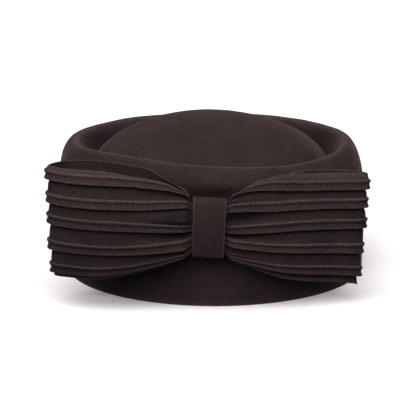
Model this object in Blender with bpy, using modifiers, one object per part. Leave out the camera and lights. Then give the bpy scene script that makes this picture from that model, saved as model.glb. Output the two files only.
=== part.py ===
"""A felt pillbox hat with a pin-tucked bow on its front, in metres, +Z up, front towards -Y.

The crown is one blocked felt shell: a wall, a rolled crest, a trench and a domed tip.
The bow is two hollow loops of tucked felt band, gathered at the waist.
A plain knot strip holds them against the front of the wall."""

import math

import bmesh
import bpy
from mathutils import Matrix, Vector

# Head opening and crown
OPENING_WIDTH = 0.169
OPENING_LENGTH = 0.194
CROWN_FELT = 0.002
RIM_BAND = 0.004
WALL_BULGE = 0.0020
BULGE_HEIGHT = 0.050
CREST_HEIGHT = 0.0744
CREST_INSET = 0.0075
TRENCH_INSET = 0.0090
TRENCH_DEPTH = 0.0140
DOME_FOOT = 0.0020
DOME_RISE = 0.0280
RIM_LEAN = 0.0028
CROWN_STEPS = 60

# Rings of the crown: degrees up from level on the dome and the shoulder, shares of the wall's height
DOME_TURNS = (76, 63, 51, 40, 30, 20, 12, 6)
SHOULDER_TURNS = (70, 50, 32, 15, 0)
WALL_SHARES = (0.5, 0.2)

# How square the dome's curve is: 2 is an ellipse
DOME_SIDE_FULLNESS = 2.1
DOME_TOP_FULLNESS = 1.55

# Bow band and its tucks
BAND_HEIGHT = 0.0585
BAND_FELT = 0.0013
TUCK_COUNT = 5
TUCK_WIDTH = 0.0056
TUCK_STAND = 0.0019
TUCK_SLOPE = 0.0006
WAIST_TUCK_STAND = 0.0005
BACK_FOLD_SHARE = 0.5
FOLD_REACH = 0.036

# Where the bow sits and how it opens
BOW_HEIGHT = 0.0452
BOW_OFFSET = -0.0010
BOW_ROLL = math.radians(1.7)
LAYER_SPACING = 0.0028
WAIST_FOLD = 0.0006
WAIST_SWELL = 0.12
EMERGE = 0.005
STATIONS = 31
CURVE_STEPS = 12
SHARP_FOLD = math.radians(40)

# Knot strip
KNOT_WIDTH = 0.0175
KNOT_HEIGHT = 0.0305
KNOT_FELT = 0.0013
KNOT_CORNER = 0.0018
KNOT_FLARE = 0.0006
KNOT_ROLL = math.radians(3.0)
KNOT_CORNER_STEPS = 4
KNOT_SHARES = (-1.0, -0.5, 0.0, 0.5, 1.0)

CLEARANCE = 0.0003
MERGE = 0.00001

# Lip and trench, from the crest inward: share of TRENCH_INSET, share of TRENCH_DEPTH
TRENCH_ROWS = (
    ("crest", 0.00, 0.00),
    ("lip", 0.27, 0.07),
    ("lip turns down", 0.47, 0.25),
    ("slope", 0.63, 0.52),
    ("lower slope", 0.80, 0.84),
    ("bottom", 1.00, 1.00),
)

# Outline of each loop seen from above: share of the loop's reach, share of its puff forward of the waist.
# The back layer opens over back_opens, a share of the loop's reach.
LEFT_LOOP = {
    "reach": 0.0828,
    "puff": 0.026,
    "top_margin": 0.0016,
    "bottom_margin": 0.0018,
    "back_opens": 0.435,
    "lean": 0.14,
    "fan": 0.06,
    "plan": (
        ("front rises", 0.240, 0.200),
        ("front crown", 0.420, 0.290),
        ("front middle", 0.600, 0.310),
        ("front falls", 0.746, 0.240),
        ("front near end", 0.866, 0.110),
        ("front corner", 0.955, -0.090),
        ("end", 1.000, -0.350),
        ("back corner", 0.972, -0.640),
        ("back near end", 0.890, -0.880),
        ("back deepest", 0.780, -0.960),
        ("back on wall", 0.660, -0.890),
        ("back middle", 0.530, -0.640),
        ("back rises", 0.400, -0.370),
        ("back near knot", 0.240, -0.190),
    ),
    # Line on the band: height and depth of fold at the waist as shares of the half waist, and the share of
    # the loop's reach that it opens over
    "gather": (
        ("top edge", 0.94, -0.16, 0.604),
        ("tuck 1 root", 0.98, -0.06, 0.507),
        ("tuck 1 lip", 0.98, 0.03, 0.447),
        ("panel 1", 0.96, -0.10, 0.459),
        ("tuck 2 root", 0.90, 0.03, 0.483),
        ("tuck 2 lip", 0.70, 0.08, 0.507),
        ("panel 2", 0.42, 0.10, 0.531),
        ("tuck 3 root", 0.12, 0.03, 0.556),
        ("tuck 3 lip", -0.12, 0.00, 0.580),
        ("panel 3", -0.28, -0.26, 0.604),
        ("tuck 4 root", -0.34, 0.02, 0.604),
        ("tuck 4 lip", -0.74, 0.06, 0.628),
        ("panel 4", -0.80, -0.14, 0.664),
        ("tuck 5 root", -0.84, -0.02, 0.688),
        ("tuck 5 lip", -0.96, -0.03, 0.713),
        ("bottom edge", -1.00, -0.12, 0.725),
    ),
}
RIGHT_LOOP = {
    "reach": 0.0812,
    "puff": 0.026,
    "top_margin": 0.0021,
    "bottom_margin": 0.0032,
    "back_opens": 0.591,
    "lean": 0.0,
    "fan": 0.045,
    "plan": (
        ("front rises", 0.240, 0.140),
        ("front crown", 0.420, 0.100),
        ("front middle", 0.600, -0.040),
        ("front falls", 0.740, -0.170),
        ("front near end", 0.860, -0.250),
        ("front corner", 0.950, -0.310),
        ("end", 1.000, -0.430),
        ("back corner", 0.970, -0.570),
        ("back near end", 0.890, -0.660),
        ("back deepest", 0.780, -0.680),
        ("back middle", 0.660, -0.610),
        ("back rises", 0.530, -0.470),
        ("back against wall", 0.400, -0.320),
        ("back near knot", 0.240, -0.190),
    ),
    "gather": (
        ("top edge", 0.94, -0.16, 0.443),
        ("tuck 1 root", 0.98, -0.06, 0.382),
        ("tuck 1 lip", 0.98, 0.02, 0.345),
        ("panel 1", 0.94, 0.06, 0.419),
        ("tuck 2 root", 0.84, 0.06, 0.443),
        ("tuck 2 lip", 0.56, 0.07, 0.517),
        ("panel 2", 0.28, -0.20, 0.493),
        ("tuck 3 root", 0.12, -0.06, 0.320),
        ("tuck 3 lip", -0.16, -0.07, 0.567),
        ("panel 3", -0.24, -0.24, 0.567),
        ("tuck 4 root", -0.28, 0.03, 0.616),
        ("tuck 4 lip", -0.56, 0.07, 0.665),
        ("panel 4", -0.72, 0.02, 0.591),
        ("tuck 5 root", -0.87, -0.03, 0.616),
        ("tuck 5 lip", -0.97, -0.05, 0.653),
        ("bottom edge", -1.00, -0.12, 0.653),
    ),
}

rim_half_width = OPENING_WIDTH / 2 + CROWN_FELT
rim_half_depth = OPENING_LENGTH / 2 + CROWN_FELT
oval = rim_half_depth / rim_half_width
wall_half_width = rim_half_width + WALL_BULGE
wall_half_depth = wall_half_width * oval
knot_lean = KNOT_WIDTH / 2 * math.sin(abs(KNOT_ROLL - BOW_ROLL))
half_waist = KNOT_HEIGHT / 2 - KNOT_FELT - CLEARANCE - knot_lean
waist_depth = LAYER_SPACING + BAND_FELT / 2 + WAIST_TUCK_STAND + WAIST_FOLD
waist_y = -(wall_half_depth + CLEARANCE + KNOT_FELT + CLEARANCE + waist_depth)
knot_centre = Vector((BOW_OFFSET, waist_y, BOW_HEIGHT))


def clear_scene():
    for item in list(bpy.data.objects):
        bpy.data.objects.remove(item)


def felt_material(name, colour, roughness):
    material = bpy.data.materials.new(name)
    material.use_nodes = True
    shader = material.node_tree.nodes["Principled BSDF"]
    shader.inputs["Base Color"].default_value = (*colour, 1.0)
    shader.inputs["Roughness"].default_value = roughness
    shader.inputs["Metallic"].default_value = 0.0
    return material


def add_object(name, mesh, material, collection):
    item = bpy.data.objects.new(name, mesh)
    mesh.materials.clear()
    mesh.materials.append(material)
    collection.objects.link(item)
    return item


def ease(share):
    """0 to 1 with level ends."""
    share = min(1.0, max(0.0, share))
    return share * share * (3 - 2 * share)


def crown_profile():
    """(reach, height) of the outer face across the half width, from the tip's middle down to the rim."""
    crest_reach = rim_half_width - CREST_INSET
    trench_reach = crest_reach - TRENCH_INSET
    trench_height = CREST_HEIGHT - TRENCH_DEPTH
    dome_reach = trench_reach - DOME_FOOT
    points = [(0.0, trench_height + DOME_RISE)]
    for turn in DOME_TURNS:
        angle = math.radians(turn)
        reach = dome_reach * math.cos(angle) ** (2 / DOME_SIDE_FULLNESS)
        rise = DOME_RISE * math.sin(angle) ** (2 / DOME_TOP_FULLNESS)
        points.append((reach, trench_height + rise))
    for _, inset, depth in reversed(TRENCH_ROWS):
        reach = crest_reach - TRENCH_INSET * inset
        points.append((reach, CREST_HEIGHT - TRENCH_DEPTH * depth))
    shoulder_width = wall_half_width - crest_reach
    shoulder_height = CREST_HEIGHT - BULGE_HEIGHT
    for turn in SHOULDER_TURNS:
        angle = math.radians(turn)
        reach = crest_reach + shoulder_width * math.cos(angle)
        points.append((reach, BULGE_HEIGHT + shoulder_height * math.sin(angle)))
    for share in WALL_SHARES:
        height = RIM_BAND + (BULGE_HEIGHT - RIM_BAND) * share
        points.append((rim_half_width + WALL_BULGE * math.sin(share * math.pi / 2), height))
    points.append((rim_half_width, RIM_BAND))
    points.append((rim_half_width, 0.0))
    return points


def make_crown(material, collection):
    """One felt shell: turned, drawn out to the head's oval, leant a little and thickened inward."""
    profile = crown_profile()
    line = bpy.data.meshes.new("crown_profile")
    edges = [(i, i + 1) for i in range(len(profile) - 1)]
    line.from_pydata([(reach, 0.0, height) for reach, height in profile], edges, [])
    turned = bpy.data.objects.new("crown_profile", line)
    collection.objects.link(turned)
    screw = turned.modifiers.new("turn", "SCREW")
    screw.steps = CROWN_STEPS
    screw.render_steps = CROWN_STEPS
    screw.use_merge_vertices = True
    screw.merge_threshold = MERGE
    bpy.context.view_layer.update()
    graph = bpy.context.evaluated_depsgraph_get()
    mesh = bpy.data.meshes.new_from_object(turned.evaluated_get(graph))
    bpy.data.objects.remove(turned)
    mesh.transform(Matrix.Diagonal((1.0, oval, 1.0, 1.0)))
    for vertex in mesh.vertices:
        vertex.co.x += RIM_LEAN * (1 - max(RIM_BAND, vertex.co.z) / CREST_HEIGHT)
    mesh.shade_smooth()
    crown = add_object("crown", mesh, material, collection)
    felt = crown.modifiers.new("felt", "SOLIDIFY")
    felt.thickness = CROWN_FELT
    felt.offset = -1.0
    felt.use_even_offset = True
    return crown


def wall_line(reach_x, stand_off):
    """How far forward of the waist the wall, grown by stand_off, comes at this distance from the middle."""
    across = min(1.0, reach_x / (wall_half_width + stand_off))
    return waist_y + (wall_half_depth + stand_off) * math.sqrt(1 - across * across)


def smooth_curve(points, per_span):
    """A Catmull-Rom curve through plan points."""
    padded = [2 * points[0] - points[1], *points, 2 * points[-1] - points[-2]]
    curve = []
    for a, b, c, d in zip(padded, padded[1:], padded[2:], padded[3:]):
        for step in range(per_span):
            t = step / per_span
            curve.append(
                0.5 * (2 * b + (c - a) * t + (2 * a - 5 * b + 4 * c - d) * t * t
                       + (3 * b - a - 3 * c + d) * t * t * t)
            )
    return [*curve, points[-1]]


def evenly(curve, count):
    """The curve again, as count points an equal way apart."""
    along = [0.0]
    for a, b in zip(curve, curve[1:]):
        along.append(along[-1] + (b - a).length)
    spaced, i = [], 0
    for n in range(count):
        goal = along[-1] * n / (count - 1)
        while i < len(curve) - 2 and along[i + 1] < goal:
            i += 1
        share = (goal - along[i]) / (along[i + 1] - along[i])
        spaced.append(curve[i].lerp(curve[i + 1], min(1.0, share)))
    return spaced


def loop_path(loop):
    """Middle of the band seen from above: (out from the knot, forward of the waist), front layer first."""
    stand_off = BAND_FELT / 2 + TUCK_STAND + 2 * CLEARANCE
    points = [Vector((KNOT_WIDTH / 2, LAYER_SPACING))]
    for _, reach, forward in loop["plan"]:
        out = loop["reach"] * reach
        points.append(Vector((out, max(loop["puff"] * forward, wall_line(out, stand_off)))))
    points.append(Vector((KNOT_WIDTH / 2, -LAYER_SPACING)))
    outside = evenly(smooth_curve(points, CURVE_STEPS), STATIONS)
    return [Vector((CLEARANCE / 2, LAYER_SPACING)), *outside, Vector((CLEARANCE / 2, -LAYER_SPACING))]


def band_lines(loop):
    """Heights of the flat band's lines above its middle: edges, tuck roots and lips, panel middles."""
    top = BAND_HEIGHT / 2
    pitch = (BAND_HEIGHT - loop["top_margin"] - loop["bottom_margin"] - TUCK_WIDTH) / (TUCK_COUNT - 1)
    lines = [top]
    for n in range(TUCK_COUNT):
        root = top - loop["top_margin"] - pitch * n
        lines += [root, root - TUCK_WIDTH]
        if n < TUCK_COUNT - 1:
            lines.append(root - (TUCK_WIDTH + pitch) / 2)
    return [*lines, -top]


def band_section(loop, out, is_back):
    """The band's outline this far from the knot: (height, distance outward from its middle), top first."""
    past_knot = max(0.0, out - KNOT_WIDTH / 2)
    leaves = ease(past_knot / EMERGE)
    gathered = half_waist * (1 + WAIST_SWELL * leaves)
    inside = WAIST_FOLD / max(row[2] for row in loop["gather"])
    outside = half_waist * (BACK_FOLD_SHARE if is_back else 1.0)
    fold = (inside + (outside - inside) * leaves) * (1 - ease(past_knot / FOLD_REACH))
    middle = []
    for flat, (_, height, depth, opens) in zip(band_lines(loop), loop["gather"]):
        opening = loop["reach"] * (loop["back_opens"] if is_back else opens)
        opened = math.sin(math.pi / 2 * min(1.0, past_knot / opening))
        middle.append((flat * opened + height * gathered * (1 - opened), depth * fold))
    stand = WAIST_TUCK_STAND + (TUCK_STAND - WAIST_TUCK_STAND) * leaves
    half = BAND_FELT / 2
    outer, inner = [], []
    for (height, depth), (name, *_) in zip(middle, loop["gather"]):
        inner.append((height, depth - half))
        if name.endswith("root"):
            slope = TUCK_SLOPE * stand / TUCK_STAND
            outer += [(height, depth + half), (height - slope, depth + half + stand)]
        elif name.endswith("lip"):
            outer += [(height, depth + half + stand), (height - CLEARANCE, depth + half)]
        else:
            outer.append((height, depth + half))
    return outer + inner[::-1]


def loft(name, sections, closed):
    """A closed body through sections of like point counts, joined end to start or capped."""
    work = bmesh.new()
    rings = [[work.verts.new(point) for point in section] for section in sections]
    pairs = list(zip(rings, rings[1:] + rings[:1])) if closed else list(zip(rings, rings[1:]))
    for first, second in pairs:
        for i in range(len(first)):
            j = (i + 1) % len(first)
            work.faces.new((first[i], first[j], second[j], second[i]))
    if not closed:
        work.faces.new(rings[0])
        work.faces.new(rings[-1])
    bmesh.ops.recalc_face_normals(work, faces=work.faces)
    mesh = bpy.data.meshes.new(name)
    work.to_mesh(mesh)
    work.free()
    mesh.shade_smooth()
    mesh.set_sharp_from_angle(angle=SHARP_FOLD)
    return mesh


def make_loop(name, loop, side, material, collection):
    """One hollow loop of tucked band, from the front of the waist round its end to the back of the waist."""
    path = loop_path(loop)
    sections = []
    for i, place in enumerate(path):
        before, after = path[max(0, i - 1)], path[min(len(path) - 1, i + 1)]
        along = (after - before).normalized()
        outward = Vector((-along.y, along.x))
        if i in (0, len(path) - 1):
            outward = Vector((0.0, 1.0 if i == 0 else -1.0))
        section = []
        far = place.x / loop["reach"]
        tip = Vector((loop["fan"], loop["lean"] * (1 - i / len(path)))) * far * far
        for height, distance in band_section(loop, place.x, i > len(path) / 2):
            spot = place + outward * distance + tip * height
            section.append(Vector((side * spot.x, -spot.y, height)))
        sections.append(section)
    item = add_object(name, loft(name, sections, closed=False), material, collection)
    item.location = knot_centre
    item.rotation_euler = (0.0, BOW_ROLL, 0.0)
    return item


def knot_outline():
    """The strip's middle line in the plane across the bow: (forward, height), with rounded corners."""
    half_deep = waist_depth + CLEARANCE + KNOT_FELT / 2
    half_high = KNOT_HEIGHT / 2 - KNOT_FELT / 2
    line = []
    for quarter, (forward, up) in enumerate(((1, 1), (-1, 1), (-1, -1), (1, -1))):
        centre = Vector((forward * (half_deep - KNOT_CORNER), up * (half_high - KNOT_CORNER)))
        for step in range(KNOT_CORNER_STEPS + 1):
            angle = math.pi / 2 * (quarter + step / KNOT_CORNER_STEPS)
            direction = Vector((math.cos(angle), math.sin(angle)))
            line.append((centre + direction * KNOT_CORNER, direction))
        line.append((Vector((direction.x * half_deep, direction.y * half_high)), direction))
    return line


def make_knot(material, collection):
    """A plain felt strip closed round the waist, its cut edges flared by the bow's fullness."""
    sections = []
    for middle, outward in knot_outline():
        flare = KNOT_FLARE * (1 + outward.x) / 2
        outer, inner = [], []
        for share in KNOT_SHARES:
            lift = flare * share * share
            for side, felt in ((outer, KNOT_FELT / 2), (inner, -KNOT_FELT / 2)):
                spot = middle + outward * (felt + lift)
                side.append(Vector((share * KNOT_WIDTH / 2, -spot.x, spot.y)))
        sections.append(outer + inner[::-1])
    item = add_object("bow_knot", loft("bow_knot", sections, closed=True), material, collection)
    item.location = knot_centre
    item.rotation_euler = (0.0, KNOT_ROLL, 0.0)
    return item


def centre_on_origin(pieces):
    """Moves the hat so that the origin is the middle of its box at floor level."""
    bpy.context.view_layer.update()
    graph = bpy.context.evaluated_depsgraph_get()
    corners = []
    for piece in pieces:
        shown = piece.evaluated_get(graph)
        corners += [shown.matrix_world @ vertex.co for vertex in shown.data.vertices]
    for axis in (0, 1):
        values = [corner[axis] for corner in corners]
        for piece in pieces:
            piece.location[axis] -= (min(values) + max(values)) / 2


def main():
    clear_scene()
    collection = bpy.data.collections.new("pillbox_hat")
    bpy.context.scene.collection.children.link(collection)
    crown_felt = felt_material("crown_felt", (0.046, 0.031, 0.030), 0.95)
    band_felt = felt_material("bow_felt", (0.043, 0.029, 0.028), 0.95)
    pieces = [
        make_crown(crown_felt, collection),
        make_loop("bow_loop_left", LEFT_LOOP, -1, band_felt, collection),
        make_loop("bow_loop_right", RIGHT_LOOP, 1, band_felt, collection),
        make_knot(band_felt, collection),
    ]
    centre_on_origin(pieces)


main()
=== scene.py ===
"""A dark wool felt pillbox hat with a pin-tucked bow on its front, on a white studio floor."""

import math

import bmesh
import bpy
from mathutils import Matrix, Vector, noise


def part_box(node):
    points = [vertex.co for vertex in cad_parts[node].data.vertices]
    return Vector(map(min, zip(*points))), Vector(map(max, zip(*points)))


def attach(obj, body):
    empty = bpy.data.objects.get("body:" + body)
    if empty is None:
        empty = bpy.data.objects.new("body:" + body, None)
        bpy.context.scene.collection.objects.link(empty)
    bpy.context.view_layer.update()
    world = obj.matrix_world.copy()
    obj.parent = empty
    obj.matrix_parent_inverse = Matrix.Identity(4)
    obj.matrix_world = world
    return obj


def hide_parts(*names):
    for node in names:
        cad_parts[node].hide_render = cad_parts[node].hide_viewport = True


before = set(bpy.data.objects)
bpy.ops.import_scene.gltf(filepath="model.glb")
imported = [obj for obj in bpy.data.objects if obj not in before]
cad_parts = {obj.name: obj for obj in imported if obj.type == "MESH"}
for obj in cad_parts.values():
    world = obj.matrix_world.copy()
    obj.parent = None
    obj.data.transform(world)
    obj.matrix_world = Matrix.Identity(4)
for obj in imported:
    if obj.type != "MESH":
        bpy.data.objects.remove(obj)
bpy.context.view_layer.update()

CLEARANCE = 0.0003
MERGE = 0.000001

# The crown's sizes
OPENING_WIDTH = 0.169
OPENING_LENGTH = 0.194
CROWN_FELT = 0.002
RIM_BAND = 0.004
WALL_BULGE = 0.0020
BULGE_HEIGHT = 0.050
CREST_HEIGHT = 0.0744
CREST_INSET = 0.0075
TRENCH_INSET = 0.0090
TRENCH_DEPTH = 0.0140
DOME_FOOT = 0.0020
DOME_RISE = 0.0280
DOME_SIDE_FULLNESS = 2.1
DOME_TOP_FULLNESS = 1.55
RIM_LEAN = 0.0028
CUT_EDGE = 0.0006

# Where the crown's profile has its points: degrees up the dome and the crest, shares of the wall's height,
# and across the trench, from the crest inward, shares of its inset and of its depth
DOME_TURNS = (76, 63, 51, 40, 30, 20, 12, 6)
TRENCH_ROWS = ((0.00, 0.00), (0.27, 0.07), (0.47, 0.25), (0.63, 0.52), (0.80, 0.84), (1.00, 1.00))
SHOULDER_TURNS = (70, 50, 32, 15, 0)
WALL_SHARES = (0.5, 0.2)
PROFILE_STEPS = 8
PROFILE_POINTS = 120
CROWN_COLUMNS = 240

# The dent that the bow presses into the front wall, the crest that rolls over it, and the crest's tilt
DENT = 0.0034
DENT_WIDTH = 0.022
DENT_HEIGHT = 0.0065
DENT_BELOW_KNOT_TOP = 0.0055
CREST_ROLL = 0.0016
ROLL_LEVEL = 0.0665
ROLL_HEIGHT = 0.0045
CREST_TILT = 0.0022
TILT_HEIGHT = 0.009
BEHIND_CREST = 0.004

# Where the crown's nap is paled by rubbing, and where shade is painted dark down in the trench and on the
# wall just above the knot
CREST_WEAR_INSET = 0.001
CREST_WEAR_WIDTH = 0.0022
CREST_WEAR_DROP = 0.006
RIM_WEAR = 0.8
RIM_WEAR_HEIGHT = 0.0012
TRENCH_PAINTED_SHADE = 0.35
TRENCH_PAINTED_SHADE_SHARE = 0.75
TRENCH_PAINTED_SHADE_WIDTH = 0.0055
DENT_PAINTED_SHADE = 0.45
DENT_PAINTED_SHADE_HEIGHT = 0.0065

# The felt's own unevenness: size across and amount of each waver
CROWN_WAVERS = ((0.035, 0.0007), (0.011, 0.00015))
BAND_WAVERS = ((0.016, 0.0006), (0.006, 0.0002))
STIFF_RIM = 0.02

# The bow band's sizes
BAND_HEIGHT = 0.0585
BAND_FELT = 0.0013
TUCK_COUNT = 5
LINES_PER_TUCK = 3
TUCK_WIDTH = 0.0056
TUCK_STAND = 0.0019
THIN_TUCK = 0.0003
WAIST_TUCK_STAND = 0.0005
BACK_FOLD_SHARE = 0.5
FOLD_REACH = 0.036
SETTLE_REACH = 0.045
BOW_ROLL = math.radians(1.7)
LAYER_SPACING = 0.0028
WAIST_FOLD = 0.0006
WAIST_SWELL = 0.12
EMERGE = 0.005
BOW_OFFSET = -0.0010
STATIONS = 260
LOOP_STEPS = 12

# The knot grips the band for a way before it runs free. The front layer's top and bottom then lean back
# like a barrel, and the back layer's top closes on the front one beside the knot.
GRIP = 0.002
GRIP_FADE = 0.012
BARREL = 0.0036
PINCH_REACH = 0.020
PINCH_FADE = 0.014
PINCH_GAP = 0.0018
PINCH_STEEPNESS = 2.2
DROOP_POWER = 8

# The knot's sizes
KNOT_WIDTH = 0.0175
KNOT_HEIGHT = 0.0305
KNOT_FELT = 0.0013
KNOT_CORNER = 0.0018
KNOT_CORNER_STEPS = 8
KNOT_STEPS = 6
KNOT_STATIONS = 140
KNOT_FLARE = 0.0006
KNOT_ROLL = math.radians(3.0)
KNOT_FULLNESS = 0.0019
KNOT_TAPER = 0.0013

# The stitches along the top tucks, which sink into the nap toward the knot
STITCH_PITCH = 0.0027
STITCH_HALF_LENGTH = 0.46
STITCH_SHARE = 0.50
STITCH_STAND = 0.80
STITCH_SINK = 0.00025
STITCH_SINK_REACH = 0.030
STITCH_SINK_FADE = 0.025
FIRST_STITCHED = 4
LAST_STITCHED = 14
THREAD = 0.0007
THREAD_WEAR = 0.3

# Each loop, where the top lines shrug up beside the knot and come down again:
# back_opens: the share of the reach over which the back layer opens
# lean, fan: how far the loop's end tips forward and outward for each way up
# droop: how far the lower corner of the loop's end hangs down
# plan: from above, share of its reach and share of its puff
# gather: for each line on the band, its height and depth of fold at the waist as shares of the half waist,
# and the share of the reach over which the front layer opens there
# shrug: for each line from the top, how far it rises, how soon past the knot, until where, and over what
# way it comes down
# settle: how far each tuck lies above an even spacing
# the last, per tuck: how much paler or darker each tuck is painted than the usual, painted light and painted
# shade
LEFT_LOOP = {
    "reach": 0.0828, "puff": 0.026, "top_margin": 0.0016, "bottom_margin": 0.0018,
    "back_opens": 0.435, "lean": 0.14, "fan": 0.06, "droop": 0.0018,
    "plan": (
        (0.240, 0.200), (0.420, 0.290), (0.600, 0.310), (0.746, 0.240), (0.866, 0.110), (0.955, -0.090),
        (1.000, -0.350), (0.972, -0.640), (0.890, -0.880), (0.780, -0.960), (0.660, -0.890), (0.530, -0.640),
        (0.400, -0.370), (0.240, -0.190),
    ),
    "gather": (
        ("edge", 0.94, -0.16, 0.604),
        ("root", 0.98, -0.06, 0.507), ("lip", 0.98, 0.03, 0.447), ("panel", 0.96, -0.10, 0.459),
        ("root", 0.90, 0.03, 0.483), ("lip", 0.70, 0.08, 0.507), ("panel", 0.42, 0.24, 0.531),
        ("root", 0.12, 0.03, 0.556), ("lip", -0.12, 0.00, 0.580), ("panel", -0.28, -0.26, 0.604),
        ("root", -0.34, 0.02, 0.604), ("lip", -0.74, 0.06, 0.628), ("panel", -0.80, -0.14, 0.664),
        ("root", -0.84, -0.02, 0.688), ("lip", -0.96, -0.03, 0.713),
        ("edge", -1.00, -0.12, 0.725),
    ),
    "shrug": (
        (0.0026, 0.003, 0.012, 0.022),
        (0.0026, 0.003, 0.012, 0.022), (0.0020, 0.0015, 0.005, 0.022), (0.0017, 0.0015, 0.005, 0.023),
        (0.0014, 0.0015, 0.005, 0.024), (0.0008, 0.0015, 0.005, 0.024),
    ),
    "settle": (0.0, 0.0, 0.0012, 0.0, 0.0),
    "rub_and_painted_light": (0.35, 0.2, 0.0, 0.0, -0.35),
}
RIGHT_LOOP = {
    "reach": 0.0812, "puff": 0.026, "top_margin": 0.0021, "bottom_margin": 0.0032,
    "back_opens": 0.591, "lean": 0.0, "fan": 0.045, "droop": 0.0022,
    "plan": (
        (0.240, 0.140), (0.420, 0.100), (0.600, -0.040), (0.740, -0.170), (0.860, -0.250), (0.950, -0.310),
        (1.000, -0.430), (0.970, -0.570), (0.890, -0.660), (0.780, -0.680), (0.660, -0.610), (0.530, -0.470),
        (0.400, -0.320), (0.240, -0.190),
    ),
    "gather": (
        ("edge", 0.94, -0.16, 0.443),
        ("root", 0.98, -0.06, 0.382), ("lip", 0.98, 0.02, 0.345), ("panel", 0.94, 0.06, 0.419),
        ("root", 0.84, 0.06, 0.443), ("lip", 0.56, 0.07, 0.517), ("panel", 0.28, -0.20, 0.493),
        ("root", 0.12, -0.06, 0.320), ("lip", -0.16, -0.07, 0.567), ("panel", -0.24, -0.24, 0.567),
        ("root", -0.28, 0.03, 0.616), ("lip", -0.56, 0.07, 0.665), ("panel", -0.72, 0.02, 0.591),
        ("root", -0.87, -0.03, 0.616), ("lip", -0.97, -0.05, 0.653),
        ("edge", -1.00, -0.12, 0.653),
    ),
    "shrug": (
        (0.0012, 0.003, 0.014, 0.018),
        (0.0012, 0.003, 0.014, 0.018), (0.0022, 0.0012, 0.006, 0.020), (0.0018, 0.0012, 0.006, 0.023),
        (0.0012, 0.0012, 0.006, 0.024), (0.0010, 0.0012, 0.006, 0.024),
    ),
    "settle": (-0.0010, 0.0012, 0.0022, 0.0012, 0.0010),
    "rub_and_painted_light": (0.1, 0.15, 0.0, 0.15, 0.0),
}
# How much further the back layer's top edge rises, in the same four measures
BACK_SHRUG = (0.0004, 0.004, 0.016, 0.016)

# Across a tuck, from its root down: share of its width, share of its stand, how pale the felt is there from
# rubbing, below zero the painted shade in the tuck's pocket
TUCK_ROWS = (
    (0.00, 0.45, 0.0), (0.02, 0.62, 0.5), (0.06, 0.92, 0.9), (0.12, 1.08, 1.0), (0.20, 1.10, 0.6),
    (0.30, 0.98, 0.1), (0.42, 0.80, 0.0), (0.50, 0.74, 0.0), (0.58, 0.78, 0.0), (0.70, 0.95, 0.0),
    (0.82, 1.12, 0.3), (0.92, 1.14, 0.8), (0.98, 1.02, 1.0), (1.00, 0.82, 0.7), (0.97, 0.62, 0.1),
    (0.86, 0.48, -0.4), (0.70, 0.36, -0.8), (0.66, 0.05, -1.0), (0.72, -0.38, -1.0), (0.90, -0.55, -1.0),
)

# Down a panel from the lip above it: it starts deep in the tuck's pocket, comes forward to the next root, and
# creases beside the knot
PANEL_SHARES = (0.0, 0.06, 0.13, 0.21, 0.30, 0.40, 0.50, 0.60, 0.70, 0.80, 0.90, 0.97)
UNDERCUT = 0.55
UNDERCUT_STEEPNESS = 2.5
PANEL_RISE = 0.45
# The painted shade under each lip, fading down the panel: how much stays, and how steeply it falls from the
# pocket
PANEL_PAINTED_SHADE = 0.30
POCKET_PAINTED_SHADE_STEEPNESS = 9
PUCKER = 0.0005
PUCKER_START = 0.003
PUCKER_REACH = 0.022
PUCKER_WAVES = 1.6

# Round the band's cut edge from its back: way out past the edge, share of the half thickness, how worn it
# is. Then the shares of the way from each line to the next at which the band's inner face has its rows.
EDGE_ROWS = ((0.0, -0.5, 0.8), (0.0001, 0.3, 1.0), (-0.0002, 1.0, 0.8))
INNER_SHARES = (0.1, 0.55)

# Round the knot's strip: share of its half width, share of its half thickness, how worn it is
KNOT_SECTION = (
    (-1.0, 0.4, 1.0), (-0.985, 0.9, 0.7), *((n / 8, 1.0, 0.0) for n in range(-7, 8)), (0.985, 0.9, 0.7),
    (1.0, 0.4, 1.0), (1.0, -0.6, 0.6), (0.96, -1.0, 0.0), (0.5, -1.0, 0.0), (0.0, -1.0, 0.0),
    (-0.5, -1.0, 0.0), (-0.96, -1.0, 0.0), (-1.0, -0.6, 0.6),
)

# The felt's looks: how fine its dye clouds, clumps and fibres are, for a metre, how much each of them counts
# in the dye, in the rubbed places and in the nap, and its colours from the dye's dark to the fuzz's pale
CLOUD_SCALE = 38.0
CLUMP_SCALE = 750.0
FIBRE_SCALE = 1900.0
FELT_DETAIL = 3.0
CLUMP_ROUGHNESS = 0.6
FIBRE_ROUGHNESS = 0.65
CLOUD_IN_DYE = 0.2
CLUMP_IN_DYE = 0.3
FIBRE_IN_DYE = 0.5
DYE_RANGE = (0.40, 0.60)
CLUMP_IN_RUB = 1.6
FIBRE_IN_RUB = 1.2
UNRUBBED = 0.9
FIBRE_IN_NAP = 0.6
CLUMP_IN_NAP = 0.8
NAP_DEPTH = 0.0006
NAP_STRENGTH = 0.45
FUZZ_GLOW = 0.24
FUZZ_SPREAD = 0.22
FUZZ_TINT = (0.5, 0.36, 0.36, 1.0)
# Painted shade where the felt's value goes below zero: how strongly, and its dark colour
PAINTED_SHADE_STRENGTH = 0.75
PAINTED_SHADE_COLOUR = (0.004, 0.003, 0.003, 1)
CROWN_COLOURS = ((0.016, 0.0105, 0.0105, 1), (0.034, 0.024, 0.024, 1), (0.07, 0.05, 0.049, 1))
BOW_COLOURS = ((0.015, 0.010, 0.010, 1), (0.032, 0.0225, 0.0225, 1), (0.07, 0.05, 0.049, 1))
THREAD_COLOURS = ((0.03, 0.021, 0.021, 1), (0.06, 0.044, 0.044, 1), (0.09, 0.068, 0.066, 1))

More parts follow.
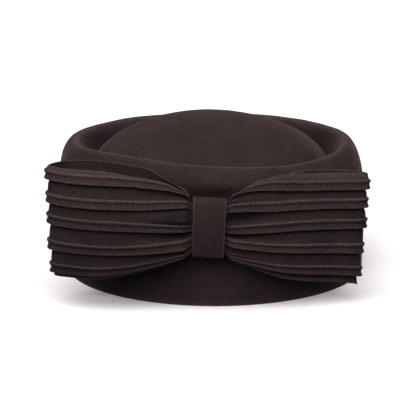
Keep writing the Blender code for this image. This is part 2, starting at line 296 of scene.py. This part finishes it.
# The studio: where the camera looks and from how far, its floor, the room's light, and the one large
# softbox with its turn to the right of the front, its rise above the floor and its spread
FOCAL = 147.63
SENSOR = 36.0
NEAREST = 0.01
LOOK_AT = Vector((-0.0022, 0.0090, 0.0322))
LOOK_FROM = 1.0
LOOK_DOWN = math.radians(12.24)
FLOOR_SIDE = 12.0
PAPER_SCALE = 900.0
PAPER_COLOURS = ((0.86, 0.86, 0.86, 1), (0.9, 0.9, 0.9, 1))
SKY_LEVEL = 0.3
SKY_OVERHEAD = 0.75
SKY_BELOW = 0.16
SKY_HORIZON = 0.12
SKY_COOL = (0.55, 0.85, 1.0, 1.0)
SKY_PALE = (1.0, 0.96, 0.97, 1.0)
SOFTBOX_AROUND = math.radians(-12.0)
SOFTBOX_ABOVE = math.radians(45.0)
SOFTBOX_SPREAD = math.radians(60.0)
SOFTBOX_POWER = 3.5
SOFTBOX_COLOUR = (1.0, 0.96, 0.94)

rim_half_width = OPENING_WIDTH / 2 + CROWN_FELT
rim_half_depth = OPENING_LENGTH / 2 + CROWN_FELT
oval = rim_half_depth / rim_half_width
wall_half_width = rim_half_width + WALL_BULGE
wall_half_depth = wall_half_width * oval
crest_reach = rim_half_width - CREST_INSET
knot_lean = KNOT_WIDTH / 2 * math.sin(abs(KNOT_ROLL - BOW_ROLL))
half_waist = KNOT_HEIGHT / 2 - KNOT_FELT - CLEARANCE - knot_lean
waist_depth = LAYER_SPACING + BAND_FELT / 2 + WAIST_TUCK_STAND + WAIST_FOLD
waist_y = -(wall_half_depth + CLEARANCE + KNOT_FELT + CLEARANCE + waist_depth)

crown_low, crown_high = (Vector(corner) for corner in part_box("crown"))
knot_low, knot_high = (Vector(corner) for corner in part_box("bow_knot"))
knot_middle = (knot_low + knot_high) / 2
hat_y = (crown_low.y + crown_high.y) / 2
hat_x = knot_middle.x - BOW_OFFSET
knot_centre = Vector((knot_middle.x, hat_y + waist_y, knot_middle.z))


class Value:
    """One output of a node, so that materials are written as sums."""

    def __init__(self, graph, socket):
        self.graph = graph
        self.socket = socket

    def __add__(self, other):
        return self.graph.maths("ADD", self, other)

    def __sub__(self, other):
        return self.graph.maths("SUBTRACT", self, other)

    def __rsub__(self, other):
        return self.graph.maths("SUBTRACT", other, self)

    def __mul__(self, other):
        return self.graph.maths("MULTIPLY", self, other)

    __radd__ = __add__
    __rmul__ = __mul__


class Graph:
    """A material's nodes."""

    def __init__(self, name):
        self.material = bpy.data.materials.new(name)
        self.material.use_nodes = True
        self.tree = self.material.node_tree
        self.shader = self.tree.nodes["Principled BSDF"]

    def set(self, node, sockets):
        for key, value in sockets.items():
            if isinstance(value, Value):
                self.tree.links.new(value.socket, node.inputs[key])
            else:
                node.inputs[key].default_value = value

    def node(self, kind, settings, sockets, output=0):
        made = self.tree.nodes.new(kind)
        for key, value in settings.items():
            setattr(made, key, value)
        self.set(made, sockets)
        return Value(self, made.outputs[output])

    def maths(self, operation, first, second):
        return self.node("ShaderNodeMath", {"operation": operation}, {0: first, 1: second})

    def clamp(self, value):
        return self.node("ShaderNodeClamp", {}, {"Value": value})

    def stretch(self, value, low, high):
        """0 at low, 1 at high, and no further."""
        sockets = {"Value": value, "From Min": low, "From Max": high}
        return self.node("ShaderNodeMapRange", {"clamp": True}, sockets)

    def mix(self, share, first, second):
        return self.node("ShaderNodeMix", {"data_type": "RGBA"}, {0: share, 6: first, 7: second}, 2)

    def noise(self, place, scale, detail, roughness=0.55):
        sockets = {"Vector": place, "Scale": scale, "Detail": detail, "Roughness": roughness}
        return self.node("ShaderNodeTexNoise", {}, sockets)


def felt(name, shade, tone, light):
    """Brushed wool felt: clouded dye, clumped fibres, a fine nap, paled by rubbing and by light painted on
    some tucks, with shade painted dark in pockets, under lips, in the trench and above the knot.
    """
    graph = Graph(name)
    place = graph.node("ShaderNodeTexCoord", {}, {}, "Object")
    cloud = graph.noise(place, CLOUD_SCALE, FELT_DETAIL)
    clump = graph.noise(place, CLUMP_SCALE, FELT_DETAIL, CLUMP_ROUGHNESS)
    fibre = graph.noise(place, FIBRE_SCALE, FELT_DETAIL, FIBRE_ROUGHNESS)
    wear_and_painted_light = graph.node("ShaderNodeAttribute", {"attribute_name": "wear_and_painted_light"}, {}, "Fac")
    mottle = cloud * CLOUD_IN_DYE + clump * CLUMP_IN_DYE + fibre * FIBRE_IN_DYE
    dye = graph.stretch(mottle, *DYE_RANGE)
    # Pale where the felt is paled by rubbing and where light is painted on some tucks
    pale_rub_and_painted_light = graph.clamp(wear_and_painted_light * (clump * CLUMP_IN_RUB + fibre * FIBRE_IN_RUB - UNRUBBED))
    # Painted shade where the value goes below zero: in pockets, under the lips, in the trench and above the
    # knot
    painted_shade = graph.clamp(0.0 - wear_and_painted_light)
    brushed = graph.mix(pale_rub_and_painted_light, graph.mix(dye, shade, tone), light)
    nap = fibre * FIBRE_IN_NAP + clump * CLUMP_IN_NAP
    bump = {"Height": nap, "Distance": NAP_DEPTH, "Strength": NAP_STRENGTH}
    graph.set(graph.shader, {
        "Base Color": graph.mix(painted_shade * PAINTED_SHADE_STRENGTH, brushed, PAINTED_SHADE_COLOUR),
        "Roughness": 0.9 + fibre * 0.1,
        "Normal": graph.node("ShaderNodeBump", {}, bump),
        "Specular IOR Level": 0.02,
        "Sheen Weight": FUZZ_GLOW,
        "Sheen Roughness": FUZZ_SPREAD,
        "Sheen Tint": FUZZ_TINT,
    })
    return graph.material


def ease(share):
    """0 to 1 with level ends."""
    share = min(1.0, max(0.0, share))
    return share * share * (3 - 2 * share)


def swell(distance, spread):
    """1 in the middle, fading to nothing on both sides."""
    return math.exp(-((distance / spread) ** 2))


def unevenness(spot, wavers):
    """How far the felt stands off its true form here."""
    return sum(noise.noise(spot / size) * amount for size, amount in wavers)


def smooth_curve(points, per_span):
    """A Catmull-Rom curve through the points."""
    padded = [2 * points[0] - points[1], *points, 2 * points[-1] - points[-2]]
    curve = []
    for a, b, c, d in zip(padded, padded[1:], padded[2:], padded[3:]):
        for step in range(per_span):
            t = step / per_span
            curve.append(
                0.5 * (2 * b + (c - a) * t + (2 * a - 5 * b + 4 * c - d) * t * t
                       + (3 * b - a - 3 * c + d) * t * t * t)
            )
    return [*curve, points[-1]]


def evenly(curve, count):
    """The curve again, as count points an equal way apart."""
    along = [0.0]
    for a, b in zip(curve, curve[1:]):
        along.append(along[-1] + (b - a).length)
    spaced, i = [], 0
    for n in range(count):
        goal = along[-1] * n / (count - 1)
        while i < len(curve) - 2 and along[i + 1] < goal:
            i += 1
        share = (goal - along[i]) / (along[i + 1] - along[i])
        spaced.append(curve[i].lerp(curve[i + 1], min(1.0, share)))
    return spaced


def finished(name, work, material, node, smooth_angle=50):
    """The felt as an object that rides on the hat and stands for its CAD node."""
    bmesh.ops.remove_doubles(work, verts=work.verts, dist=MERGE)
    bmesh.ops.recalc_face_normals(work, faces=work.faces)
    mesh = bpy.data.meshes.new(name)
    work.to_mesh(mesh)
    work.free()
    mesh.materials.append(material)
    mesh.shade_smooth()
    mesh.set_sharp_from_angle(angle=math.radians(smooth_angle))
    item = bpy.data.objects.new(name, mesh)
    bpy.context.scene.collection.objects.link(item)
    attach(item, "root")
    if node:
        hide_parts(node)
    return item


def formed(rings):
    """A sheet of felt with each crossing moved to its place: rings of (place, paling from rubbing with
    painted light and shade), one ring a station.
    """
    columns, rows = len(rings), len(rings[0])
    work = bmesh.new()
    wear_and_painted_light = work.verts.layers.float.new("wear_and_painted_light")
    bmesh.ops.create_grid(work, x_segments=columns - 1, y_segments=rows - 1, size=1.0)
    for vertex in work.verts:
        column = round((vertex.co.x + 1) / 2 * (columns - 1))
        row = round((vertex.co.y + 1) / 2 * (rows - 1))
        vertex.co, vertex[wear_and_painted_light] = rings[column][row]
    return work


def crown_profile():
    """(reach, height) of the felt's outer face from the tip's middle down to the rim."""
    trench_height = CREST_HEIGHT - TRENCH_DEPTH
    dome_reach = crest_reach - TRENCH_INSET - DOME_FOOT
    points = [Vector((0.0, trench_height + DOME_RISE))]
    for turn in DOME_TURNS:
        angle = math.radians(turn)
        reach = dome_reach * math.cos(angle) ** (2 / DOME_SIDE_FULLNESS)
        points.append(Vector((reach, trench_height + DOME_RISE * math.sin(angle) ** (2 / DOME_TOP_FULLNESS))))
    for inset, depth in reversed(TRENCH_ROWS):
        points.append(Vector((crest_reach - TRENCH_INSET * inset, CREST_HEIGHT - TRENCH_DEPTH * depth)))
    for turn in SHOULDER_TURNS:
        angle = math.radians(turn)
        reach = crest_reach + (wall_half_width - crest_reach) * math.cos(angle)
        points.append(Vector((reach, BULGE_HEIGHT + (CREST_HEIGHT - BULGE_HEIGHT) * math.sin(angle))))
    for share in WALL_SHARES:
        height = RIM_BAND + (BULGE_HEIGHT - RIM_BAND) * share
        points.append(Vector((rim_half_width + WALL_BULGE * math.sin(share * math.pi / 2), height)))
    points += [Vector((rim_half_width, RIM_BAND)), Vector((rim_half_width, 0.0))]
    return evenly(smooth_curve(points, PROFILE_STEPS), PROFILE_POINTS)


def crown_wear_and_painted_shade(reach, height):
    """Pale where the crest and the rim get rubbed, with shade painted dark down in the trench."""
    crest = 0.0
    if height > CREST_HEIGHT - CREST_WEAR_DROP:
        crest = swell(reach - crest_reach + CREST_WEAR_INSET, CREST_WEAR_WIDTH)
    rub_and_painted_light = max(crest, RIM_WEAR * swell(height, RIM_WEAR_HEIGHT))
    trench = swell(reach - crest_reach + TRENCH_INSET * TRENCH_PAINTED_SHADE_SHARE, TRENCH_PAINTED_SHADE_WIDTH)
    return rub_and_painted_light - trench * TRENCH_PAINTED_SHADE * (1 - rub_and_painted_light)


def pressed(spot, reach):
    """What the bow does to the crown's front here: (back, down, how much shade is painted on the wall above
    the knot).
    """
    if spot.y >= 0 or reach <= crest_reach - BEHIND_CREST:
        return 0.0, 0.0, 0.0
    over_knot = swell(spot.x + hat_x - knot_middle.x, DENT_WIDTH)
    dent = DENT * swell(spot.z - knot_high.z + DENT_BELOW_KNOT_TOP, DENT_HEIGHT)
    roll = CREST_ROLL * swell(spot.z - ROLL_LEVEL, ROLL_HEIGHT)
    tilt = math.sin(math.pi * spot.x / rim_half_width) * ease(-2 * spot.y / reach)
    down = CREST_TILT * tilt * swell(spot.z - CREST_HEIGHT, TILT_HEIGHT)
    # Shade painted on the wall just above the knot
    shade = 0.0
    if reach > crest_reach:
        shade = DENT_PAINTED_SHADE * over_knot * swell(spot.z - knot_high.z, DENT_PAINTED_SHADE_HEIGHT)
    return over_knot * (dent - roll), down, shade


def make_crown(material):
    """The blocked crown: turned, made uneven, pressed by the bow, drawn oval and leant, then thickened."""
    work = bmesh.new()
    wear_and_painted_light = work.verts.layers.float.new("wear_and_painted_light")
    line = [work.verts.new((point.x, 0.0, point.y)) for point in crown_profile()]
    edges = [work.edges.new(pair) for pair in zip(line, line[1:])]
    bmesh.ops.spin(work, geom=line + edges, cent=(0, 0, 0), axis=(0, 0, 1), angle=math.tau,
                   steps=CROWN_COLUMNS, use_merge=True)
    bmesh.ops.remove_doubles(work, verts=work.verts, dist=MERGE * 10)
    bmesh.ops.recalc_face_normals(work, faces=work.faces)
    work.normal_update()
    for vertex in work.verts:
        spot = vertex.co.copy()
        reach = math.hypot(spot.x, spot.y)
        back, down, shade = pressed(spot, reach)
        # Paled by rubbing on the crest and rim, less the shade painted in the trench and just above the knot
        vertex[wear_and_painted_light] = crown_wear_and_painted_shade(reach, spot.z) - shade
        vertex.co = spot + vertex.normal * ease(spot.z / STIFF_RIM) * unevenness(spot, CROWN_WAVERS)
        vertex.co += Vector((0.0, back, -down))
    bmesh.ops.scale(work, vec=(1.0, oval, 1.0), verts=work.verts)
    for vertex in work.verts:
        vertex.co.x += hat_x + RIM_LEAN * (1 - max(RIM_BAND, vertex.co.z) / CREST_HEIGHT)
        vertex.co.y += hat_y
    item = finished("crown_body", work, material, "crown", 70)
    thick = item.modifiers.new("felt", "SOLIDIFY")
    thick.thickness = CROWN_FELT
    thick.offset = -1.0
    thick.use_even_offset = True
    cut = item.modifiers.new("cut_edge", "BEVEL")
    cut.width = CUT_EDGE
    cut.segments = 3
    cut.limit_method = "ANGLE"
    cut.angle_limit = math.radians(60)
    return item


def wall_line(reach_x, stand_off):
    """How far forward of the waist the crown's wall comes at this distance from the middle."""
    across = min(1.0, reach_x / (wall_half_width + stand_off))
    return waist_y + (wall_half_depth + stand_off) * math.sqrt(1 - across * across)


def loop_path(loop):
    """Middle of the band from above, as (out from the knot, forward of the waist), front layer first."""
    stand_off = BAND_FELT / 2 + TUCK_STAND + 2 * CLEARANCE
    points = [Vector((KNOT_WIDTH / 2, LAYER_SPACING))]
    for reach, forward in loop["plan"]:
        out = loop["reach"] * reach
        points.append(Vector((out, max(loop["puff"] * forward, wall_line(out, stand_off)))))
    points.append(Vector((KNOT_WIDTH / 2, -LAYER_SPACING)))
    outside = evenly(smooth_curve(points, LOOP_STEPS), STATIONS)
    return [Vector((CLEARANCE / 2, LAYER_SPACING)), *outside, Vector((CLEARANCE / 2, -LAYER_SPACING))]


def band_lines(loop):
    """Heights of the band's lines when it lies flat: edges, tuck roots and lips, panel middles."""
    top = BAND_HEIGHT / 2
    pitch = (BAND_HEIGHT - loop["top_margin"] - loop["bottom_margin"] - TUCK_WIDTH) / (TUCK_COUNT - 1)
    lines = [top]
    for n in range(TUCK_COUNT):
        root = top - loop["top_margin"] - pitch * n
        lines += [root, root - TUCK_WIDTH]
        if n < TUCK_COUNT - 1:
            lines.append(root - (TUCK_WIDTH + pitch) / 2)
    return [*lines, -top]


def shrugged(past_knot, rise, soon, until, over):
    """How far a line rises beside the knot, before it comes down again."""
    return rise * ease(past_knot / soon) * (1 - ease((past_knot - until) / over))


def band_middle(loop, out, is_back):
    """(height, depth of fold) of each line at this distance from the knot, and how far the tucks stand."""
    past_knot = max(0.0, out - KNOT_WIDTH / 2)
    leaves = ease(past_knot / EMERGE)
    gathered = half_waist * (1 + WAIST_SWELL * leaves)
    inside = WAIST_FOLD / max(row[2] for row in loop["gather"])
    outside = half_waist * (BACK_FOLD_SHARE if is_back else 1.0)
    fold = (inside + (outside - inside) * leaves) * (1 - ease(past_knot / FOLD_REACH))
    middle = []
    for flat, (_, height, depth, opens) in zip(band_lines(loop), loop["gather"]):
        reach = loop["reach"] * (loop["back_opens"] if is_back else opens)
        opened = math.sin(math.pi / 2 * min(1.0, past_knot / reach))
        middle.append(Vector((flat * opened + height * gathered * (1 - opened), depth * fold)))
    for i in range(1, len(middle) - 1):
        tuck, line = divmod(i - 1, LINES_PER_TUCK)
        next_tuck = tuck + (line == LINES_PER_TUCK - 1)
        shift = (loop["settle"][tuck] + loop["settle"][next_tuck]) / 2
        middle[i].x += shift * ease(past_knot / SETTLE_REACH)
    for spot, row in zip(middle, loop["shrug"]):
        spot.x += shrugged(past_knot, *row)
    if is_back:
        middle[0].x += shrugged(past_knot, *BACK_SHRUG)
    return middle, WAIST_TUCK_STAND + (TUCK_STAND - WAIST_TUCK_STAND) * leaves


def edge_rows(spot, way, rows):
    """The rows round one of the band's cut edges, the top one with way 1, the bottom one with way -1."""
    half = BAND_FELT / 2
    return [(spot.x + way * rise, spot.y + half * out, wear_and_painted_light) for rise, out, wear_and_painted_light in rows]


def tuck_rows(root, lip, stand, rub_and_painted_light):
    """The rows down one tuck and back up into its pocket."""
    width = max(THIN_TUCK, root.x - lip.x)
    rows = []
    for share, out_share, wear_and_painted_light in TUCK_ROWS:
        middle = root.y + (lip.y - root.y) * share
        # Each tuck's painted light and shade is added to its rows outside the pocket
        pale_rub_and_painted_light = wear_and_painted_light + rub_and_painted_light * (wear_and_painted_light >= 0)
        rows.append((root.x - width * share, middle + BAND_FELT / 2 + stand * out_share, pale_rub_and_painted_light))
    return rows


def panel_rows(above, here, below, stand, pucker):
    """The rows down one panel, on a curve through its middle."""
    rows = []
    for t in PANEL_SHARES:
        spot = above * (1 - t) * (1 - 2 * t) + here * 4 * t * (1 - t) + below * t * (2 * t - 1)
        tucked = UNDERCUT * stand * max(0.0, 1 - UNDERCUT_STEEPNESS * t) ** 2
        crease = pucker * math.sin(math.tau * PUCKER_WAVES * t)
        distance = spot.y + BAND_FELT / 2 - tucked + crease + PANEL_RISE * stand * t
        # Painted shade: dark under the lip, fading down the panel
        rows.append((spot.x, distance, -max(1 - POCKET_PAINTED_SHADE_STEEPNESS * t, PANEL_PAINTED_SHADE * (1 - t))))
    return rows


def band_section(loop, out, is_back):
    """The band's outline from its top edge round: (height, distance outward from its middle, wear)."""
    middle, stand = band_middle(loop, out, is_back)
    past_knot = out - KNOT_WIDTH / 2
    pucker = 0.0
    if not is_back:
        pucker = PUCKER * ease(past_knot / PUCKER_START) * ease(1 - past_knot / PUCKER_REACH)
    rows = edge_rows(middle[0], 1, EDGE_ROWS)
    for i, (kind, *_) in enumerate(loop["gather"]):
        if kind == "root":
            rows += tuck_rows(middle[i], middle[i + 1], stand, loop["rub_and_painted_light"][i // LINES_PER_TUCK])
        elif kind == "panel":
            rows += panel_rows(middle[i - 1], middle[i], middle[i + 1], stand, pucker)
    rows += edge_rows(middle[-1], -1, reversed(EDGE_ROWS))
    inner = []
    for a, b in zip(middle, middle[1:]):
        for t in INNER_SHARES:
            spot = a.lerp(b, t)
            inner.append((spot.x, spot.y - BAND_FELT / 2, 0.0))
    return rows + inner[::-1]


def front_line(path, out):
    """How far forward the front layer runs at this distance from the knot."""
    for a, b in zip(path, path[1:]):
        if b.x >= out:
            return a.y + (b.y - a.y) * (out - a.x) / max(MERGE, b.x - a.x)
    return path[len(path) // 2].y


def clear_of_knot(out):
    """0 where the knot grips the band, 1 where the band runs free."""
    return ease((out - KNOT_WIDTH / 2 - GRIP) / GRIP_FADE)


def loop_spot(loop, side, path, i, height, distance):
    """Where a point of the band's section at station i comes on the bow."""
    place = path[i]
    before, after = path[max(0, i - 1)], path[min(len(path) - 1, i + 1)]
    along = (after - before).normalized()
    outward = Vector((-along.y, along.x))
    if i in (0, len(path) - 1):
        outward = Vector((0.0, 1.0 if i == 0 else -1.0))
    from_middle = 2 * height / BAND_HEIGHT
    if i > len(path) / 2:
        near = 1 - ease((place.x - PINCH_REACH) / PINCH_FADE)
        close = near * ease(1 + PINCH_STEEPNESS * (from_middle - 1) / 2)
        place = Vector((place.x, place.y + (front_line(path, place.x) - PINCH_GAP - place.y) * close))
    far = place.x / loop["reach"]
    tip = Vector((loop["fan"], loop["lean"] * (1 - i / len(path)))) * far * far
    barrel = clear_of_knot(place.x) * BARREL * from_middle ** 2 * max(0.0, outward.y)
    droop = loop["droop"] * far ** DROOP_POWER * max(0.0, -from_middle)
    spot = place + outward * distance + tip * height - Vector((0.0, barrel))
    return Vector((side * spot.x, -spot.y, height - droop))


def on_hat(loop, side, path, i, height, distance):
    """The same point on the hat, with the felt's own unevenness where the knot doesn't grip it."""
    spot = loop_spot(loop, side, path, i, height, distance)
    loose = clear_of_knot(path[i].x) * unevenness(spot, BAND_WAVERS)
    turn = Matrix.Translation(knot_centre) @ Matrix.Rotation(BOW_ROLL, 4, "Y")
    return turn @ loop_spot(loop, side, path, i, height, distance + loose)


def make_loop(name, node, loop, side, material):
    """One hollow loop of tucked band, from the front of the waist round its end to the back of the waist."""
    path = loop_path(loop)
    rings = []
    for i, place in enumerate(path):
        section = band_section(loop, place.x, i > len(path) / 2)
        rings.append([
            (on_hat(loop, side, path, i, height, distance), wear_and_painted_light)
            for height, distance, wear_and_painted_light in [*section, section[0]]
        ])
    work = formed(rings)
    bmesh.ops.remove_doubles(work, verts=work.verts, dist=MERGE)
    ends = [edge for edge in work.edges if edge.is_boundary]
    bmesh.ops.holes_fill(work, edges=ends, sides=0)
    return finished(name, work, material, node)


def stitch_line(loop, side, tuck):
    """Where the thread runs along the groove in the middle of a tuck, on the loop's front layer."""
    path = loop_path(loop)
    line = []
    for i in range(FIRST_STITCHED, len(path) // 2 - LAST_STITCHED):
        middle, stand = band_middle(loop, path[i].x, False)
        root, lip = middle[1 + LINES_PER_TUCK * tuck], middle[2 + LINES_PER_TUCK * tuck]
        spot = root + (lip - root) * STITCH_SHARE
        sunk = STITCH_SINK * (1 - ease((path[i].x - STITCH_SINK_REACH) / STITCH_SINK_FADE))
        distance = spot.y + BAND_FELT / 2 + stand * STITCH_STAND - sunk
        line.append(on_hat(loop, side, path, i, spot.x, distance))
    return line


def make_stitches(name, loop, side, tucks, material):
    """Short stitches of thread sunk into these tucks."""
    work = bmesh.new()
    wear_and_painted_light = work.verts.layers.float.new("wear_and_painted_light")
    for tuck in tucks:
        line = stitch_line(loop, side, tuck)
        length = sum((b - a).length for a, b in zip(line, line[1:]))
        spots = evenly(line, 2 * round(length / STITCH_PITCH))
        for a, b in zip(spots[0::2], spots[1::2]):
            along = b - a
            made = bmesh.ops.create_uvsphere(work, u_segments=6, v_segments=5, radius=1.0)["verts"]
            place = Matrix.Translation((a + b) / 2) @ along.to_track_quat("Z", "Y").to_matrix().to_4x4()
            size = Matrix.Diagonal((THREAD / 2, THREAD / 2, along.length * STITCH_HALF_LENGTH, 1.0))
            bmesh.ops.transform(work, matrix=place @ size, verts=made)
    for vertex in work.verts:
        vertex[wear_and_painted_light] = THREAD_WEAR
    return finished(name, work, material, None)


def knot_outline():
    """The strip's middle line across the bow, as (forward, height), with soft corners."""
    half_deep = waist_depth + CLEARANCE + KNOT_FELT / 2
    half_high = KNOT_HEIGHT / 2 - KNOT_FELT / 2
    line = []
    for forward, up, start in ((1, 1, 0), (-1, 1, 90), (-1, -1, 180), (1, -1, 270)):
        centre = Vector((forward * (half_deep - KNOT_CORNER), up * (half_high - KNOT_CORNER)))
        for step in range(KNOT_CORNER_STEPS + 1):
            angle = math.radians(start + 90 * step / KNOT_CORNER_STEPS)
            line.append(centre + Vector((math.cos(angle), math.sin(angle))) * KNOT_CORNER)
    return evenly(smooth_curve([*line, line[0]], KNOT_STEPS), KNOT_STATIONS)


def make_knot(material):
    """A plain strip closed round the waist, its face a little full, its edges soft, narrower low down."""
    turn = Matrix.Translation(knot_centre) @ Matrix.Rotation(KNOT_ROLL, 4, "Y")
    outline = knot_outline()
    rings = []
    for i, middle in enumerate(outline):
        before, after = outline[i - 1 if i else -2], outline[i + 1 if i < len(outline) - 1 else 1]
        along = (after - before).normalized()
        outward = Vector((along.y, -along.x))
        front = max(0.0, outward.x)
        full = KNOT_FULLNESS * (1 - (2 * middle.y / KNOT_HEIGHT) ** 2)
        taper = KNOT_TAPER * min(1.0, max(0.0, 0.5 - middle.y / KNOT_HEIGHT))
        ring = []
        for share, thick, wear_and_painted_light in [*KNOT_SECTION, KNOT_SECTION[0]]:
            stand = KNOT_FELT / 2 * thick + front * (KNOT_FLARE * share * share + full)
            spot = middle + outward * stand
            place = Vector((share * KNOT_WIDTH / 2 + taper * (1 - share) / 2, -spot.x, spot.y))
            ring.append((turn @ place, wear_and_painted_light))
        rings.append(ring)
    return finished("knot_strip", formed(rings), material, "bow_knot")


def make_camera():
    """The photographer's place: straight in front, looking a little down."""
    data = bpy.data.cameras.new("camera")
    data.lens = FOCAL
    data.sensor_width = SENSOR
    data.clip_start = NEAREST
    camera = bpy.data.objects.new("camera", data)
    bpy.context.scene.collection.objects.link(camera)
    camera.location = LOOK_AT + Vector((0.0, -math.cos(LOOK_DOWN), math.sin(LOOK_DOWN))) * LOOK_FROM
    camera.rotation_euler = (math.pi / 2 - LOOK_DOWN, 0.0, 0.0)
    bpy.context.scene.camera = camera


def make_floor():
    """White paper under the hat, which throws no light back up onto it."""
    work = bmesh.new()
    bmesh.ops.create_grid(work, x_segments=4, y_segments=4, size=FLOOR_SIDE / 2)
    mesh = bpy.data.meshes.new("studio_floor")
    work.to_mesh(mesh)
    work.free()
    floor = bpy.data.objects.new("studio_floor", mesh)
    bpy.context.scene.collection.objects.link(floor)
    paper = Graph("white_paper")
    grain = paper.noise(paper.node("ShaderNodeTexCoord", {}, {}, "Object"), PAPER_SCALE, 2.0)
    paper.set(paper.shader, {
        "Base Color": paper.mix(grain, *PAPER_COLOURS),
        "Roughness": 0.85 + grain * 0.1,
        "Specular IOR Level": 0.0,
    })
    mesh.materials.append(paper.material)
    floor.visible_diffuse = False


class Sky(Graph):
    """The room's soft light: strongest overhead, weak and cool from below."""

    def __init__(self):
        self.world = bpy.data.worlds.new("studio")
        self.world.use_nodes = True
        self.tree = self.world.node_tree
        self.shader = self.tree.nodes["Background"]
        where = self.node("ShaderNodeTexCoord", {}, {}, "Generated")
        up = self.node("ShaderNodeSeparateXYZ", {}, {"Vector": where}, "Z")
        above = self.stretch(up, 0.0, SKY_HORIZON)
        strength = SKY_BELOW + above * (SKY_LEVEL - SKY_BELOW) + self.clamp(up) * SKY_OVERHEAD
        self.set(self.shader, {"Color": self.mix(above, SKY_COOL, SKY_PALE), "Strength": strength})


def make_softbox():
    """A large soft light, high in front of the hat."""
    data = bpy.data.lights.new("high_softbox", "SUN")
    data.angle = SOFTBOX_SPREAD
    data.energy = SOFTBOX_POWER
    data.color = SOFTBOX_COLOUR
    lamp = bpy.data.objects.new("high_softbox", data)
    bpy.context.scene.collection.objects.link(lamp)
    level = math.cos(SOFTBOX_ABOVE)
    right, forward = math.sin(SOFTBOX_AROUND) * level, math.cos(SOFTBOX_AROUND) * level
    source = Vector((right, -forward, math.sin(SOFTBOX_ABOVE)))
    lamp.rotation_euler = source.to_track_quat("Z", "Y").to_euler()


bow_felt = felt("bow_felt_nap", *BOW_COLOURS)
thread = felt("sewing_thread", *THREAD_COLOURS)

make_crown(felt("crown_felt_nap", *CROWN_COLOURS))
bow_left = make_loop("bow_left", "bow_loop_left", LEFT_LOOP, -1, bow_felt)
bow_right = make_loop("bow_right", "bow_loop_right", RIGHT_LOOP, 1, bow_felt)
knot_strip = make_knot(bow_felt)
make_stitches("stitching_left", LEFT_LOOP, -1, (0, 1), thread)
make_stitches("stitching_right", RIGHT_LOOP, 1, (0,), thread)

make_camera()
make_floor()
make_softbox()
bpy.context.scene.world = Sky().world
bpy.context.scene.view_settings.view_transform = "Standard"
